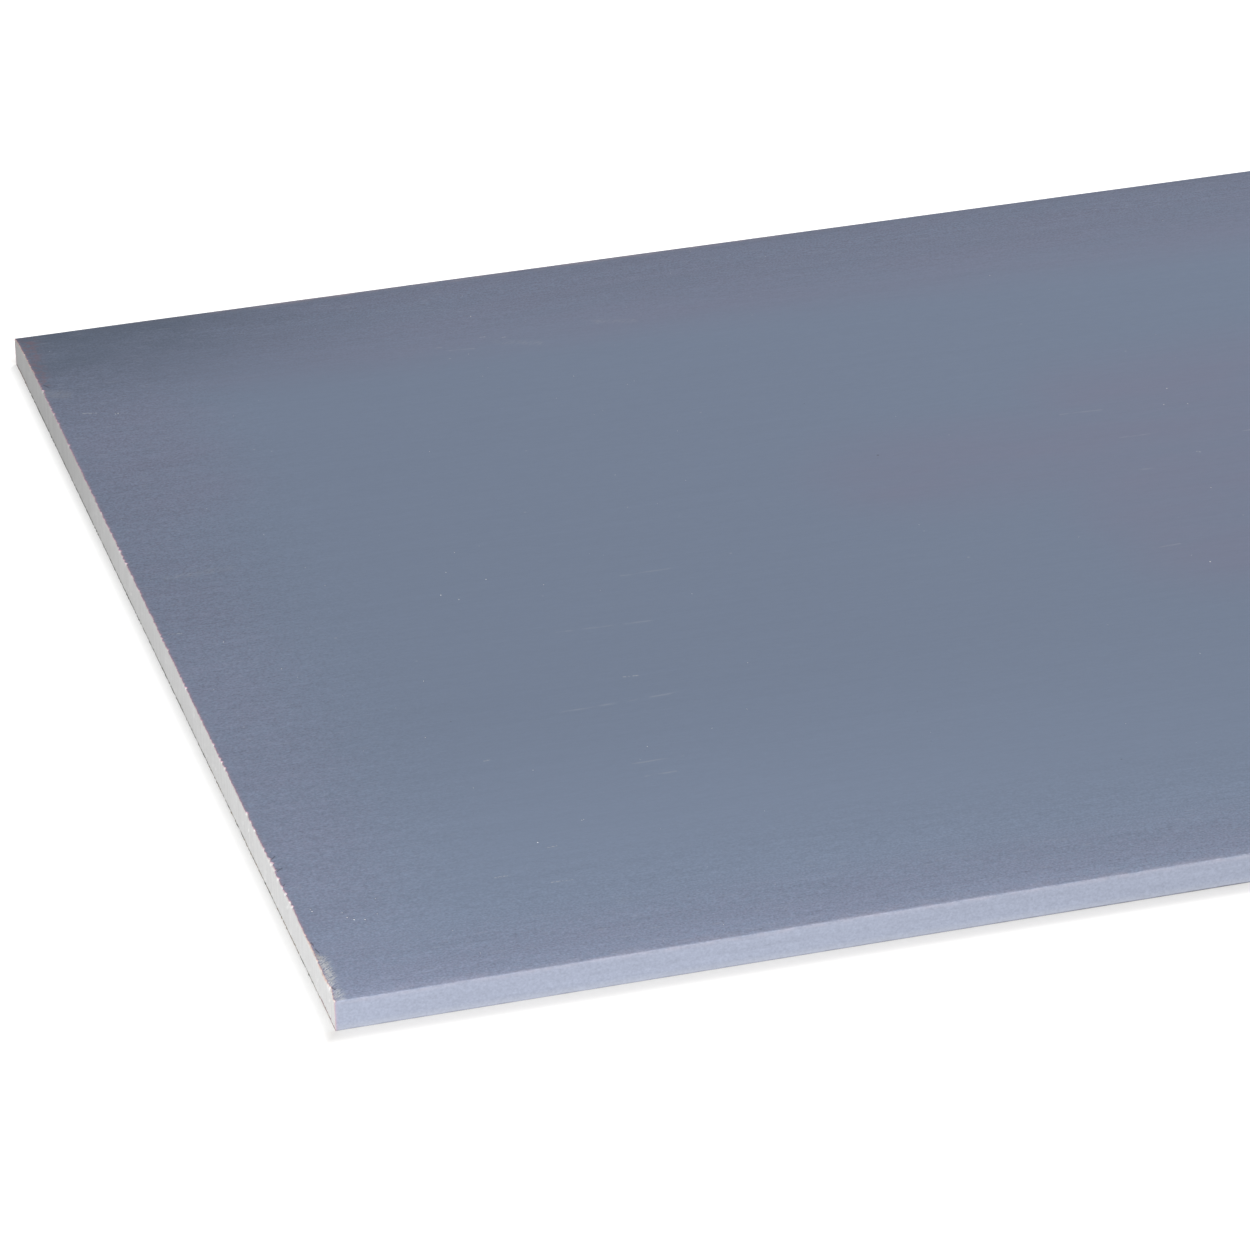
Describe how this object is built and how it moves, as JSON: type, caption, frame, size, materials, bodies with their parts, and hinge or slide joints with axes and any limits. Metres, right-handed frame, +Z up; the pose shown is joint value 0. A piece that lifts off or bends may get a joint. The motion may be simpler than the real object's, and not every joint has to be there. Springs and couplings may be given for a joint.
{
  "type": "drywall sheet",
  "caption": "Flat gypsum board: pale core, blue-grey face paper folded round tapered long edges and under a back paper, square sawn ends.",
  "frame": {"origin": "centre of the underside, on the floor", "axes": "+X along the sheet's length, +Y across its width, +Z up from the back paper to the face"},
  "size_m": [2, 0.6, 0.015],
  "materials": {
    "gypsum": "matte",
    "face_paper": "matte",
    "back_paper": "matte"
  },
  "bodies": {
    "root": {"gypsum_core": "gypsum", "face_liner": "face_paper", "back_liner": "back_paper"}
  },
  "joints": []
}
